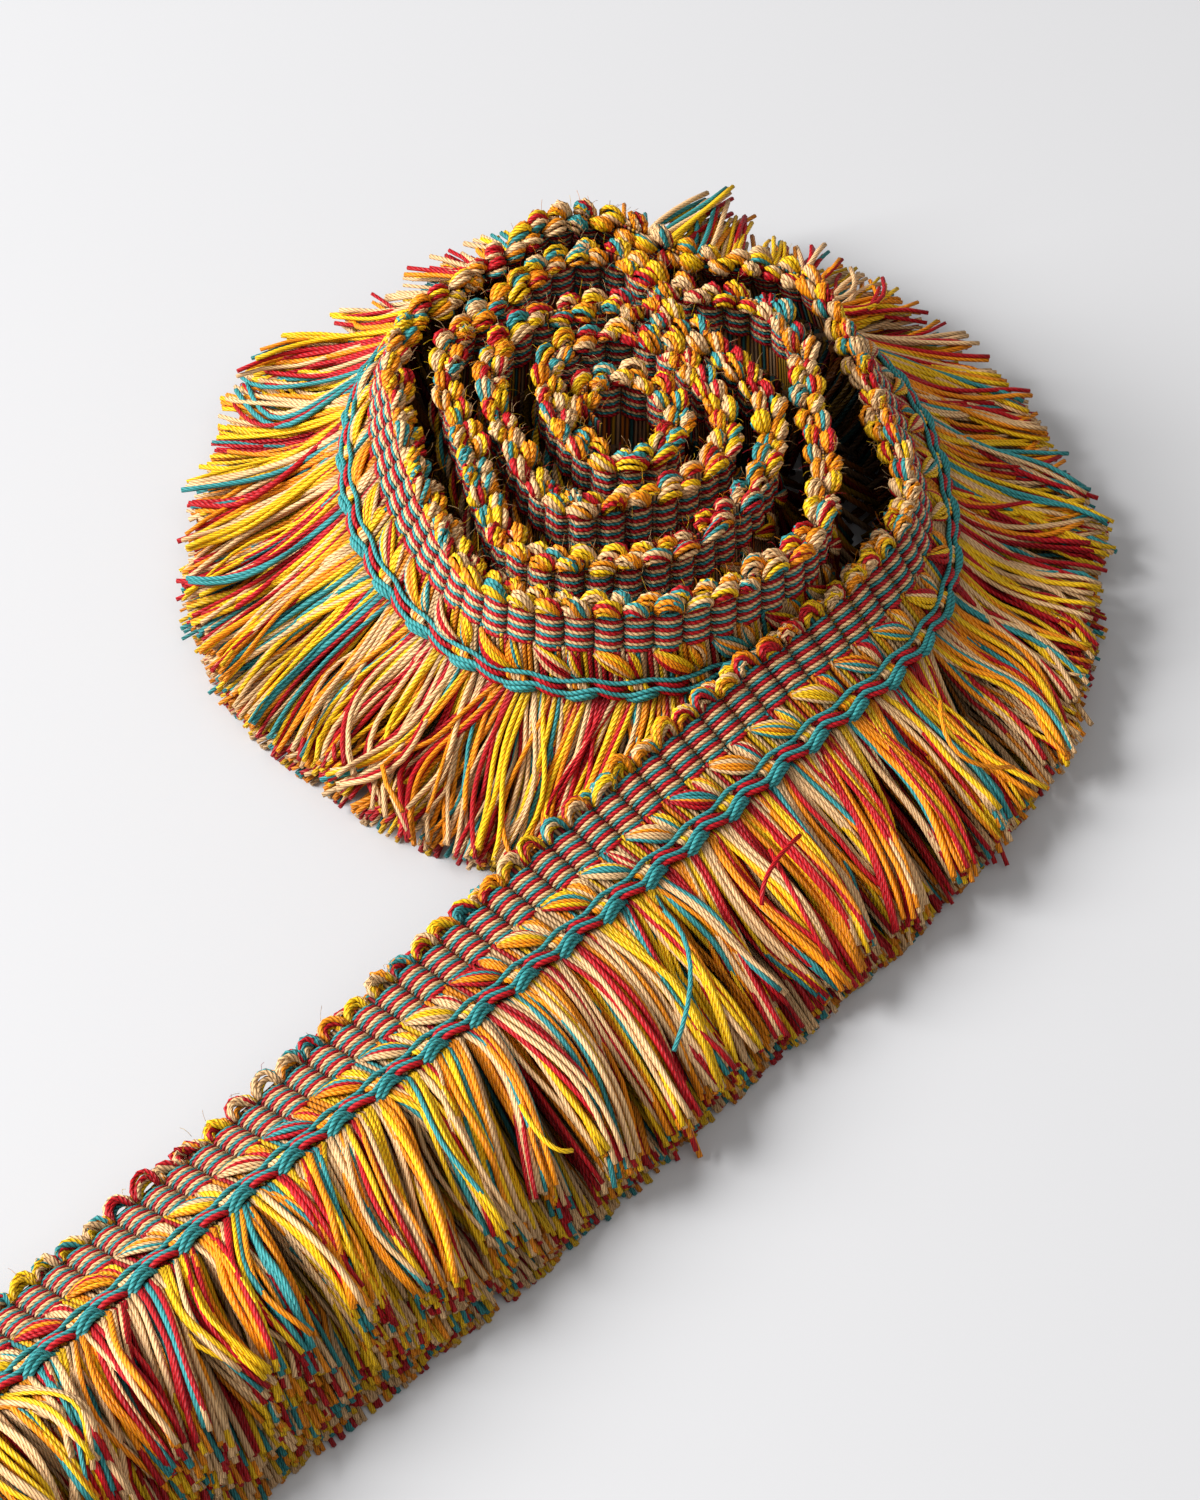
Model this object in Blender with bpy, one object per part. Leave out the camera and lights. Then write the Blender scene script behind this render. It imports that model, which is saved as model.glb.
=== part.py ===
"""Brush-fringe trim: a woven heading with a scalloped picot edge and a cut brush fringe,
wound loosely into a rosette that stands on its fringe, with its free end laid out straight.

Lengths in the tables and constants are millimetres. add_mesh turns them into metres.
The origin is on the surface under the middle of the rosette, +Z is up, and the free end
runs towards -X.
"""

import math
import random
from collections import namedtuple

import bmesh
import bpy
from mathutils import Vector

MM = 0.001
COLLECTION = "fringe_trim"

# Woven heading, measured across its width from the picot tips
RIB_PITCH = 3.3
PICOT_MIDDLE = 1.0
WAIST = 2.4
HEADING_WIDTH = 10.9
CHAIN_MIDDLE = 12.4
CLOTH = CHAIN_MIDDLE - PICOT_MIDDLE
FULL_WIDTH = 14.0
CLEAR = 0.3
PICOT_REACH = 0.2
PICOT_DROP = 0.8
PICOT_HALF = (1.7, 1.05)
WAIST_HALF = (1.0, 0.7)
RIB_HALF = (1.3, 0.75)

# Fringe, in locks of two layers that hang from the chain strip
LOCK_PITCH = 3.1
STRIP_HALF = 1.2
LAYER_GAP = 0.1
LOCK_FILL = 0.86
LENGTH_JITTER = 0.07
SIDE_JITTER = 0.12
ROLL_SECTORS = 5
# Where the skirt stops under the free end, as a share of the outer turn's last stretch
SKIRT_END = 0.45
TAIL_PIECES = 2

# Where the rosette is measured, in degrees round its middle, 0 along +X
DIRECTIONS = (-90, -65, -35, -10, 10, 32, 57, 85, 110, 150, 192, 225, 250)
# Radius of the picot edge in each direction, a row for each turn from the outside in
PICOT_RADII = (
    (31.0, 31.2, 27.4, 29.3, 33.0, 29.5, 33.8, 30.6, 31.1, 26.2, 31.6, 30.2, 28.4),
    (26.4, 21.7, 19.5, 22.8, 24.8, 22.6, 28.4, 25.6, 25.0, 20.4, 26.0, 23.2, 19.4),
    (17.3, 15.4, 14.2, 13.6, 14.4, 16.8, 19.6, 20.8, 19.2, 15.8, 17.5, 13.7, 11.8),
    (11.1, 10.2, 9.0, 8.8, 9.7, 12.0, 14.8, 14.8, 12.4, 9.2, 8.6, 7.2, 5.6),
    (4.6, 4.0, 3.8, 4.1, 4.8, 5.8, 7.4, 8.8, 7.8, 4.8),
)
# Radius of the chain in each direction on the outer turn
CHAIN_RADII = (40.0, 37.0, 34.8, 36.0, 37.2, 36.4, 37.6, 37.0, 36.6, 33.4, 33.6, 32.0, 29.6)
# How far the chain of each inner turn stands out from its picots
INNER_FLARES = (None, 1.2, 0.8, 0.6, 0.4)
# Height of the picot edge in each direction, a row for each turn
PICOT_HEIGHTS = (
    (19.0, 20.8, 21.4, 22.4, 23.6, 24.6, 28.0, 26.2, 24.4, 22.6, 24.0, 24.2, 24.6),
    (24.6, 24.6, 24.6, 24.7, 24.9, 25.4, 27.0, 26.2, 25.4, 24.8, 24.8, 25.0, 25.2),
    (25.2, 25.2, 25.3, 25.4, 25.6, 25.8, 26.0, 25.8, 25.6, 25.4, 25.2, 25.2, 25.2),
    (25.2, 25.3, 25.4, 25.5, 25.6, 25.6, 25.6, 25.5, 25.4, 25.3, 25.2, 25.1, 25.0),
    (24.9, 24.8, 24.8, 24.8, 24.8, 24.8, 24.8, 24.8, 24.7, 24.6),
)

# The free end, from its cut end to the rosette. Its picot edge droops towards the cut end.
# There its fringe stands up as a thick brush (brush 1), and round the rosette it lies as a
# thinner skirt (brush 0).
TailRow = namedtuple("TailRow", "x picot_y picot_z chain_z brush")
TAIL_ROWS = (
    TailRow(-164.0, -30.2, 5.2, 9.4, 1.0),
    TailRow(-125.0, -30.2, 5.2, 9.4, 1.0),
    TailRow(-100.0, -29.9, 5.6, 9.5, 0.9),
    TailRow(-82.0, -29.6, 7.0, 9.6, 0.5),
    TailRow(-64.0, -29.3, 9.4, 9.7, 0.2),
    TailRow(-45.0, -29.3, 12.0, 9.9, 0.05),
    TailRow(-30.0, -29.7, 14.6, 10.6, 0.0),
    TailRow(-16.0, -30.2, 17.0, 11.6, 0.0),
)

# How far the fringe reaches out from the strip along the free end, and round the rosette in
# each direction of its outer turn
TAIL_REACH = 20.0
ROLL_REACHES = (18.5, 18.0, 17.5, 16.5, 16.5, 17.0, 18.0, 18.5, 19.5, 20.0, 18.0, 17.5, 17.5)
# Each layer of locks, a pair of rows where it bends and a pair at its tip: the share of that
# reach, its height, half its thickness, and how much of the strip's extra height it follows.
# The first row of a pair is for the skirt round the rosette, the second for the thick brush.
LockRow = namedtuple("LockRow", "share height half lift")
UPPER_ROWS = (
    (LockRow(0.33, 9.2, 1.2, 0.7), LockRow(0.4, 9.5, 1.8, 0.0)),
    (LockRow(1.0, 4.0, 1.1, 0.55), LockRow(1.0, 8.0, 2.2, 0.0)),
)
LOWER_ROWS = (
    (LockRow(0.42, 1.25, 1.25, 0.0), LockRow(0.42, 2.5, 2.5, 0.0)),
    (LockRow(0.97, 1.25, 1.25, 0.0), LockRow(0.96, 2.5, 2.5, 0.0)),
)
ROOT_HEIGHT = 12.0
# How far back along the band the tips lie from straight out of their roots
LEAN = 5.0

# Fringe of the inner turns, packed under them inside the outer turn's chain
INNER_MARGINS = (3.0, 4.0)
INNER_HEIGHT = 10.6

SAMPLES_PER_SPAN = 24
SEED = 11

Station = namedtuple("Station", "s picot across along face")


def clear_scene():
    for obj in list(bpy.data.objects):
        bpy.data.objects.remove(obj)


def mix(a, b, share):
    return a + (b - a) * share


def table_value(place, places, values):
    """The value at a place between two places of a table, or its end value outside them."""
    if place <= places[0]:
        return values[0]
    for i in range(1, len(values)):
        if place < places[i]:
            return mix(values[i - 1], values[i], (place - places[i - 1]) / (places[i] - places[i - 1]))
    return values[-1]


def polar(radius, degrees):
    angle = math.radians(degrees)
    return radius * math.cos(angle), radius * math.sin(angle)


def tail_row(row):
    """Picot middle and chain middle of the free end, as one row of six numbers."""
    drop = row.picot_z - row.chain_z
    chain_y = row.picot_y - math.sqrt(CLOTH**2 - drop**2)
    return row.x, row.picot_y, row.picot_z, row.x, chain_y, row.chain_z


def roll_row(turn, place):
    """Picot middle and chain middle of a turn in one direction, as one row of six numbers."""
    direction = DIRECTIONS[place]
    radius = PICOT_RADII[turn][place]
    chain = radius + INNER_FLARES[turn] if turn else CHAIN_RADII[place]
    height = PICOT_HEIGHTS[turn][place]
    chain_height = height - math.sqrt(CLOTH**2 - (chain - radius) ** 2)
    return polar(radius, direction) + (height,) + polar(chain, direction) + (chain_height,)


def control_rows():
    """The rows that give the band its course, from the cut end inwards."""
    rows = [tail_row(row) for row in TAIL_ROWS]
    for turn, radii in enumerate(PICOT_RADII):
        rows.extend(roll_row(turn, place) for place in range(len(radii)))
    return rows


def catmull(before, start, end, after, share):
    """A point on the smooth curve from start to end, for rows of any length."""
    found = []
    for a, b, c, d in zip(before, start, end, after):
        slope_in = (c - a) / 2
        slope_out = (d - b) / 2
        square = share * share
        cube = square * share
        found.append(
            (2 * cube - 3 * square + 1) * b
            + (cube - 2 * square + share) * slope_in
            + (3 * square - 2 * cube) * c
            + (cube - square) * slope_out
        )
    return found


def edge_points(row):
    """The picot middle and the chain middle of a row, brought a cloth's width apart."""
    picot = Vector(row[:3])
    return picot, picot + (Vector(row[3:]) - picot).normalized() * CLOTH


def band_samples():
    """Fine samples (length along the band, picot, chain), and the length at each row."""
    rows = control_rows()
    samples = []
    lengths = []
    total = 0.0
    for i in range(len(rows) - 1):
        before = rows[max(i - 1, 0)]
        after = rows[min(i + 2, len(rows) - 1)]
        lengths.append(total)
        for step in range(SAMPLES_PER_SPAN):
            row = catmull(before, rows[i], rows[i + 1], after, step / SAMPLES_PER_SPAN)
            picot, chain = edge_points(row)
            if samples:
                last = samples[-1]
                middle = (picot + chain - last[1] - last[2]) / 2
                total += middle.length
            samples.append((total, picot, chain))
    lengths.append(total)
    return samples, lengths


def station_at(samples, s):
    """The band's frame at length s: along it, across it to the chain, and off its face."""
    index = 1
    while index < len(samples) - 1 and samples[index][0] < s:
        index += 1
    low, high = samples[index - 1], samples[index]
    share = (s - low[0]) / (high[0] - low[0])
    picot = low[1].lerp(high[1], share)
    chain = low[2].lerp(high[2], share)
    near = samples[max(index - 3, 0)]
    far = samples[min(index + 2, len(samples) - 1)]
    along = (far[1] + far[2] - near[1] - near[2]).normalized()
    across = (chain - picot).normalized()
    along = (along - across * along.dot(across)).normalized()
    return Station(s, picot, across, along, across.cross(along))


def at(station, width, depth):
    """A point of the band, width from the picot tips and depth off its middle layer."""
    return station.picot + station.across * (width - PICOT_MIDDLE) + station.face * depth


def add_mesh(name, points, faces, colour, roughness):
    mesh = bpy.data.meshes.new(name)
    mesh.from_pydata([point * MM for point in points], [], faces)
    edit = bmesh.new()
    edit.from_mesh(mesh)
    bmesh.ops.recalc_face_normals(edit, faces=edit.faces)
    edit.to_mesh(mesh)
    edit.free()
    material = bpy.data.materials.new(name + "_yarn")
    material.use_nodes = True
    shader = material.node_tree.nodes["Principled BSDF"]
    shader.inputs["Base Color"].default_value = colour + (1.0,)
    shader.inputs["Roughness"].default_value = roughness
    shader.inputs["Metallic"].default_value = 0.0
    mesh.materials.append(material)
    bpy.data.collections[COLLECTION].objects.link(bpy.data.objects.new(name, mesh))


def loft(rings):
    """Points and faces of a closed solid through rings of equally many points."""
    sides = len(rings[0])
    points = [point for ring in rings for point in ring]
    faces = [tuple(range(sides)), tuple(range(len(points) - sides, len(points)))]
    for i in range(len(rings) - 1):
        for j in range(sides):
            near = i * sides
            far = near + sides
            onward = (j + 1) % sides
            faces.append((near + j, near + onward, far + onward, far + j))
    return points, faces


def heading_ring(station, crest, lower_edge):
    """The band's cross-section on a rib (crest 0) or between two ribs (crest 1)."""
    tip = PICOT_DROP if crest else -PICOT_REACH
    picot = PICOT_HALF[crest]
    waist = WAIST_HALF[crest]
    rib = RIB_HALF[crest]
    outline = (
        (tip, 0.0),
        (PICOT_MIDDLE, picot),
        (WAIST, waist),
        (lower_edge, rib),
        (lower_edge, -rib),
        (WAIST, -waist),
        (PICOT_MIDDLE, -picot),
    )
    return [at(station, width, depth) for width, depth in outline]


def add_heading(samples, strip_end):
    """The woven band with its ribs and picots. Past the strip's end it holds its chain."""
    count = int(samples[-1][0] / (RIB_PITCH / 2))
    rings = []
    for i in range(count):
        station = station_at(samples, i * RIB_PITCH / 2)
        lower_edge = HEADING_WIDTH if station.s < strip_end + RIB_PITCH else FULL_WIDTH
        rings.append(heading_ring(station, i % 2, lower_edge))
    points, faces = loft(rings)
    add_mesh("heading", points, faces, (0.42, 0.20, 0.16), 0.85)


def outward_of(station):
    """The level direction in which the fringe leaves the band."""
    return Vector((station.along.y, -station.along.x, 0.0)).normalized()


def reached(station, reach):
    return at(station, FULL_WIDTH, 0.0) + outward_of(station) * reach


def lock_rings(samples, s, brush, fringe_reach, rows, chance):
    """The free cross-sections of a lock whose root is at length s, at its bend and its tip."""
    root_height = at(station_at(samples, s), FULL_WIDTH, 0.0).z
    climb = max(root_height - ROOT_HEIGHT, 0.0) * (1.0 - brush)
    longer = (1.0, 1.0 + LENGTH_JITTER * chance.uniform(-1.0, 1.0))
    slides = (0.0, SIDE_JITTER * LOCK_PITCH * chance.uniform(-1.0, 1.0))
    rings = []
    for (skirt_row, brush_row), stretch, slide in zip(rows, longer, slides):
        row = LockRow(*(mix(a, b, brush) for a, b in zip(skirt_row, brush_row)))
        reach = fringe_reach * row.share * stretch
        leaned = s - LEAN * row.share
        middle = station_at(samples, leaned)
        sides = [station_at(samples, leaned + side * LOCK_PITCH / 2) for side in (-1, 1)]
        sideways = Vector((0.0, 0.0, 1.0)).cross(outward_of(middle))
        centre = reached(middle, reach)
        room = min((centre - reached(side, reach)).length for side in sides)
        half_width = room * LOCK_FILL - abs(slide)
        centre += sideways * slide
        centre.z = row.height + climb * row.lift
        left = centre - sideways * half_width
        right = centre + sideways * half_width
        depth = Vector((0.0, 0.0, row.half))
        rings.append((left - depth, left + depth, right + depth, right - depth))
    return rings


def strip_ring(station):
    """Chain strip from its top face round the back to the two rows where locks root."""
    outline = (
        (HEADING_WIDTH + CLEAR, STRIP_HALF),
        (HEADING_WIDTH + CLEAR, -STRIP_HALF),
        (FULL_WIDTH, -STRIP_HALF),
        (FULL_WIDTH, -LAYER_GAP),
        (FULL_WIDTH, LAYER_GAP),
        (FULL_WIDTH, STRIP_HALF),
    )
    return [at(station, width, depth) for width, depth in outline]


def add_fringe(name, samples, start, end, shape_at, chance):
    """A length of the chain strip with two layers of locks growing from its lower edge."""
    count = max(round((end - start) / LOCK_PITCH), 1)
    pitch = (end - start) / count
    points = []
    faces = []
    rings = []
    for i in range(count):
        for place in (i * pitch + CLEAR / 2, (i + 1) * pitch - CLEAR / 2):
            rings.append(len(points))
            points.extend(strip_ring(station_at(samples, start + place)))
    sides = 6
    faces.append(tuple(range(sides)))
    faces.append(tuple(range(len(points) - sides, len(points))))
    for i in range(len(rings) - 1):
        near, far = rings[i], rings[i + 1]
        rooted = i % 2 == 0
        for j in range(sides):
            if rooted and j in (2, 4):
                continue
            onward = (j + 1) % sides
            faces.append((near + j, near + onward, far + onward, far + j))
        if not rooted:
            continue
        s = start + (i // 2 + 0.5) * pitch
        brush, fringe_reach = shape_at(s)
        for j, rows in ((2, LOWER_ROWS), (4, UPPER_ROWS)):
            loop = (near + j, near + j + 1, far + j + 1, far + j)
            for ring in lock_rings(samples, s, brush, fringe_reach, rows, chance):
                first = len(points)
                points.extend(ring)
                onward_loop = tuple(range(first, first + 4))
                for k in range(4):
                    after = (k + 1) % 4
                    faces.append((loop[k], loop[after], onward_loop[after], onward_loop[k]))
                loop = onward_loop
            faces.append(loop)
    add_mesh(name, points, faces, (0.72, 0.36, 0.10), 0.9)


def add_inner_fringe():
    """The packed fringe of the inner turns, a low mound that the rosette stands on."""
    entry = PICOT_RADII[1][0] + INNER_FLARES[1] + INNER_MARGINS[0]
    directions = DIRECTIONS + (DIRECTIONS[0] + 360,)
    radii = (entry,) + CHAIN_RADII[1:] + (entry,)
    rings = []
    for height, margin in zip((0.0, INNER_HEIGHT), INNER_MARGINS):
        ring = []
        for i in range(len(directions) - 1):
            for share in (0.0, 1 / 3, 2 / 3):
                radius = mix(radii[i], radii[i + 1], share) - margin
                direction = mix(directions[i], directions[i + 1], share)
                ring.append(Vector(polar(radius, direction) + (height,)))
        rings.append(ring)
    points, faces = loft(rings)
    add_mesh("inner_fringe", points, faces, (0.60, 0.30, 0.12), 0.9)


def build():
    clear_scene()
    collection = bpy.data.collections.new(COLLECTION)
    bpy.context.scene.collection.children.link(collection)
    samples, lengths = band_samples()
    roll_start = lengths[len(TAIL_ROWS)]
    last = len(TAIL_ROWS) + len(DIRECTIONS) - 1
    roll_end = mix(lengths[last - 1], lengths[last], SKIRT_END)
    reach_lengths = lengths[len(TAIL_ROWS) - 1 : len(TAIL_ROWS) + len(DIRECTIONS)]

    def shape_at(s):
        """How much the fringe is a thick brush at length s, and how far it reaches."""
        brush = table_value(s, lengths, [row.brush for row in TAIL_ROWS])
        return brush, table_value(s, reach_lengths, (TAIL_REACH,) + ROLL_REACHES)

    chance = random.Random(SEED)
    add_heading(samples, roll_end)
    for i in range(TAIL_PIECES):
        start = roll_start * i / TAIL_PIECES
        end = roll_start * (i + 1) / TAIL_PIECES
        add_fringe(f"fringe_tail_{i + 1}", samples, start, end, shape_at, chance)
    for i in range(ROLL_SECTORS):
        start = mix(roll_start, roll_end, i / ROLL_SECTORS)
        end = mix(roll_start, roll_end, (i + 1) / ROLL_SECTORS)
        add_fringe(f"fringe_roll_{i + 1}", samples, start, end, shape_at, chance)
    add_inner_fringe()


build()
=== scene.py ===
"""The yarns of a brush-fringe trim: warp ribs, picot loops, leaf floats, chain and cut strands.

Lengths in the tables and constants are millimetres, and each piece's mesh is built in metres.
A place on the band is given by s along it, w across it from the picot tips, and d off its
middle layer, positive on the face that looks up on the free end and out on the rosette.
"""

import math

import bpy
import numpy as np
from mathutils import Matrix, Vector


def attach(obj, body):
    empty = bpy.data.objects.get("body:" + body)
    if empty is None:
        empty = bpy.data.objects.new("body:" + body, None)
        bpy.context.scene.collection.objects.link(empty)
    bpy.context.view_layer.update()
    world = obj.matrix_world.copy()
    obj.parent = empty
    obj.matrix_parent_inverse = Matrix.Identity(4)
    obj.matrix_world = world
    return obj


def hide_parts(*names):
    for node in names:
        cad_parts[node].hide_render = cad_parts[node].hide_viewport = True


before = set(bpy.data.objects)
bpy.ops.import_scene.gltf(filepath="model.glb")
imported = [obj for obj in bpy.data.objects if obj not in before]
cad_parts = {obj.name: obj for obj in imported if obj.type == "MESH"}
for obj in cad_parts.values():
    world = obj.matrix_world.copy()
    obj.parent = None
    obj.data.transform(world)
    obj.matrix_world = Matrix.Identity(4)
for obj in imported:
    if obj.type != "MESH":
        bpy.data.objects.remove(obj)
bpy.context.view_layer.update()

MM = 0.001
SEED = 5
chance = np.random.default_rng(SEED)

# Yarn colours, as linear red, green and blue
COLOURS = {
    "cream": (0.82, 0.46, 0.215),
    "yellow": (0.97, 0.485, 0.004),
    "orange": (0.97, 0.262, 0.003),
    "crimson": (0.44, 0.003, 0.008),
    "teal": (0.035, 0.26, 0.262),
}
NAMES = list(COLOURS)
CREAM, YELLOW, ORANGE, CRIMSON, TEAL = range(5)
# How often each colour comes, and how many strands of it lie side by side
FRINGE_SHARES = (0.32, 0.2, 0.2, 0.21, 0.07)
FRINGE_RUNS = (1.9, 1.4, 1.5, 1.6, 1.0)

# Woven heading, as in the part's own source: length of a rib, the lines across the band that
# its rows give, its width, reach of the free end's fringe, and height of the chain above which
# the fringe's tips rise too
RIB_PITCH = 3.3
PICOT_MIDDLE = 1.0
CHAIN_MIDDLE = 12.4
CLOTH = CHAIN_MIDDLE - PICOT_MIDDLE
FULL_WIDTH = 14.0
TAIL_REACH = 20.0
ROOT_HEIGHT = 12.0

# The roll: directions of its rows in degrees, then radii and heights for each turn from outside
DIRECTIONS = (-90, -65, -35, -10, 10, 32, 57, 85, 110, 150, 192, 225, 250)
PICOT_RADII = (
    (31.0, 31.2, 27.4, 29.3, 33.0, 29.5, 33.8, 30.6, 31.1, 26.2, 31.6, 30.2, 28.4),
    (26.4, 21.7, 19.5, 22.8, 24.8, 22.6, 28.4, 25.6, 25.0, 20.4, 26.0, 23.2, 19.4),
    (17.3, 15.4, 14.2, 13.6, 14.4, 16.8, 19.6, 20.8, 19.2, 15.8, 17.5, 13.7, 11.8),
    (11.1, 10.2, 9.0, 8.8, 9.7, 12.0, 14.8, 14.8, 12.4, 9.2, 8.6, 7.2, 5.6),
    (4.6, 4.0, 3.8, 4.1, 4.8, 5.8, 7.4, 8.8, 7.8, 4.8),
)
CHAIN_RADII = (40.0, 37.0, 34.8, 36.0, 37.2, 36.4, 37.6, 37.0, 36.6, 33.4, 33.6, 32.0, 29.6)
# On the inner turns the chain's radius is this much more than the picots'
INNER_FLARES = (None, 1.2, 0.8, 0.6, 0.4)
PICOT_HEIGHTS = (
    (19.0, 20.8, 21.4, 22.4, 23.6, 24.6, 28.0, 26.2, 24.4, 22.6, 24.0, 24.2, 24.6),
    (24.6, 24.6, 24.6, 24.7, 24.9, 25.4, 27.0, 26.2, 25.4, 24.8, 24.8, 25.0, 25.2),
    (25.2, 25.2, 25.3, 25.4, 25.6, 25.8, 26.0, 25.8, 25.6, 25.4, 25.2, 25.2, 25.2),
    (25.2, 25.3, 25.4, 25.5, 25.6, 25.6, 25.6, 25.5, 25.4, 25.3, 25.2, 25.1, 25.0),
    (24.9, 24.8, 24.8, 24.8, 24.8, 24.8, 24.8, 24.8, 24.7, 24.6),
)
# The free end: place along it, picot edge, picot height, chain height, how thick its brush is
TAIL_ROWS = (
    (-164.0, -30.2, 5.2, 9.4, 1.0),
    (-125.0, -30.2, 5.2, 9.4, 1.0),
    (-100.0, -29.9, 5.6, 9.5, 0.9),
    (-82.0, -29.6, 7.0, 9.6, 0.5),
    (-64.0, -29.3, 9.4, 9.7, 0.2),
    (-45.0, -29.3, 12.0, 9.9, 0.05),
    (-30.0, -29.7, 14.6, 10.6, 0.0),
    (-16.0, -30.2, 17.0, 11.6, 0.0),
)
# How far the fringe reaches round the roll
ROLL_REACHES = (18.0, 17.2, 19.4, 16.0, 16.0, 19.5, 18.0, 14.5, 18.6, 20.0, 18.3, 17.5, 17.5)
# How much higher the tips lie behind the rosette, where the fringe has less room
ROLL_LIFTS = (0.0, 0.0, 0.0, 0.5, 2.0, 4.0, 3.0, 0.5, 0.0, 0.0, 0.0, 0.0, 0.0)
# How far the tips lie from straight out, along the band, on the free end and round the rosette
TAIL_LEAN = -5.0
ROLL_LEANS = (-1.0, -4.5, -3.0, -8.0, -4.0, 0.0, 2.0, 2.0, 1.0, 4.5, 2.0, -3.5, -4.0)
# Where the open fringe stops, as a share of the last span of the outer turn
SKIRT_END = 0.45
# Points between two rows of the course, and the step of the tables made from them
SAMPLES_PER_SPAN = 24
STEP = 0.25
# How far the course is carried on past the cut end
OVERHANG = 20.0
# Samples on each side over which the band's direction is taken, and its unused far end
SLOPE_SAMPLES = 5
FAR_END = 0.3

# Camera of the photograph
TARGET = (-25.1, -17.3, 0.0)
LOOK_LEVEL = (0.719, 0.695)
ELEVATION = 47.0
DISTANCE = 407.0
LENS = 85.0
SENSOR = 36.0


def unit(vectors):
    return vectors / np.maximum(np.linalg.norm(vectors, axis=-1, keepdims=True), 1e-9)


def smooth(values):
    values = np.clip(values, 0.0, 1.0)
    return values * values * (3.0 - 2.0 * values)


def mix(a, b, share):
    return a + (b - a) * share


# The course of the band


def polar(radius, degrees):
    angle = math.radians(degrees)
    return radius * math.cos(angle), radius * math.sin(angle)


def tail_row(x, picot_y, picot_z, chain_z):
    chain_y = picot_y - math.sqrt(CLOTH**2 - (picot_z - chain_z) ** 2)
    return x, picot_y, picot_z, x, chain_y, chain_z


def roll_row(turn, place):
    direction = DIRECTIONS[place]
    radius = PICOT_RADII[turn][place]
    chain = radius + INNER_FLARES[turn] if turn else CHAIN_RADII[place]
    height = PICOT_HEIGHTS[turn][place]
    chain_height = height - math.sqrt(CLOTH**2 - (chain - radius) ** 2)
    return polar(radius, direction) + (height,) + polar(chain, direction) + (chain_height,)


class Band:
    """The band's course, read at any length s along it."""

    def __init__(self):
        rows = [tail_row(*row[:4]) for row in TAIL_ROWS]
        for turn, radii in enumerate(PICOT_RADII):
            rows.extend(roll_row(turn, place) for place in range(len(radii)))
        rows = np.array(rows)
        share = np.arange(SAMPLES_PER_SPAN)[:, None] / SAMPLES_PER_SPAN
        spans = []
        for i in range(len(rows) - 1):
            before, after = rows[max(i - 1, 0)], rows[min(i + 2, len(rows) - 1)]
            slope_in, slope_out = (rows[i + 1] - before) / 2, (after - rows[i]) / 2
            spans.append(
                (2 * share**3 - 3 * share**2 + 1) * rows[i]
                + (share**3 - 2 * share**2 + share) * slope_in
                + (3 * share**2 - 2 * share**3) * rows[i + 1]
                + (share**3 - share**2) * slope_out
            )
        fine = np.vstack(spans)
        picot = fine[:, :3]
        across = unit(fine[:, 3:] - picot)
        middle = picot + across * (CLOTH / 2)
        steps = np.linalg.norm(np.diff(middle, axis=0), axis=1)
        lengths = np.concatenate([[0.0], np.cumsum(steps)])
        self.length = lengths[-1]
        self.row_lengths = lengths[::SAMPLES_PER_SPAN]
        s = np.arange(0.0, self.length, STEP)
        picot = np.stack([np.interp(s, lengths, picot[:, k]) for k in range(3)], 1)
        across = unit(np.stack([np.interp(s, lengths, across[:, k]) for k in range(3)], 1))
        middle = picot + across * (CLOTH / 2)
        ahead = np.minimum(np.arange(len(s)) + SLOPE_SAMPLES, len(s) - 1)
        behind = np.maximum(np.arange(len(s)) - SLOPE_SAMPLES, 0)
        along = unit(middle[ahead] - middle[behind])
        along = unit(along - across * np.sum(along * across, axis=1, keepdims=True))
        # Past the cut end the course runs straight on, for the strands that lean over it
        start = picot[0] - along[0] * OVERHANG
        self.s = np.concatenate([[-OVERHANG], s])
        self.picot = np.vstack([start, picot])
        self.across = np.vstack([across[0], across])
        self.along = np.vstack([along[0], along])

    def read(self, s, table):
        """One of the band's tables of vectors, between its samples."""
        found = [np.interp(s, self.s, table[:, k]) for k in range(3)]
        return np.stack(found, axis=-1)

    def axes(self, s):
        """Unit vectors across the band, along it and off its face."""
        across = unit(self.read(s, self.across))
        along = unit(self.read(s, self.along))
        return across, along, unit(np.cross(across, along))

    def at(self, s, w, d):
        """Points at s along the band, w across it and d off its face."""
        s, w, d = np.broadcast_arrays(s, w, d)
        across, along, face = self.axes(s)
        picot = self.read(s, self.picot)
        return picot + across * (w - PICOT_MIDDLE)[..., None] + face * d[..., None]

    def within(self, s):
        """The same places, but none past the band's ends."""
        return np.clip(s, 0.0, self.length - FAR_END)

    def outward(self, s):
        """The level direction in which the fringe leaves the band."""
        along = self.read(s, self.along)
        level = np.stack([along[..., 1], -along[..., 0], 0 * along[..., 0]], axis=-1)
        return unit(level)


band = Band()
ROLL_START = band.row_lengths[len(TAIL_ROWS)]
LAST_ROW = len(TAIL_ROWS) + len(DIRECTIONS) - 1
SKIRT_STOP = mix(band.row_lengths[LAST_ROW - 1], band.row_lengths[LAST_ROW], SKIRT_END)
RIB_COUNT = int(band.length / RIB_PITCH)
OUTER_RIBS = int(SKIRT_STOP / RIB_PITCH) + 6
BRUSH_TABLE = [row[4] for row in TAIL_ROWS] + [0.0]
REACH_TABLE = (TAIL_REACH,) + ROLL_REACHES
LEAN_TABLE = (TAIL_LEAN,) + ROLL_LEANS
LIFT_TABLE = (0.0,) + ROLL_LIFTS
REACH_PLACES = band.row_lengths[len(TAIL_ROWS) - 1 : len(TAIL_ROWS) + len(DIRECTIONS)]


# Yarns: each is a tube round its own path, and many of them make one piece


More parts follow.
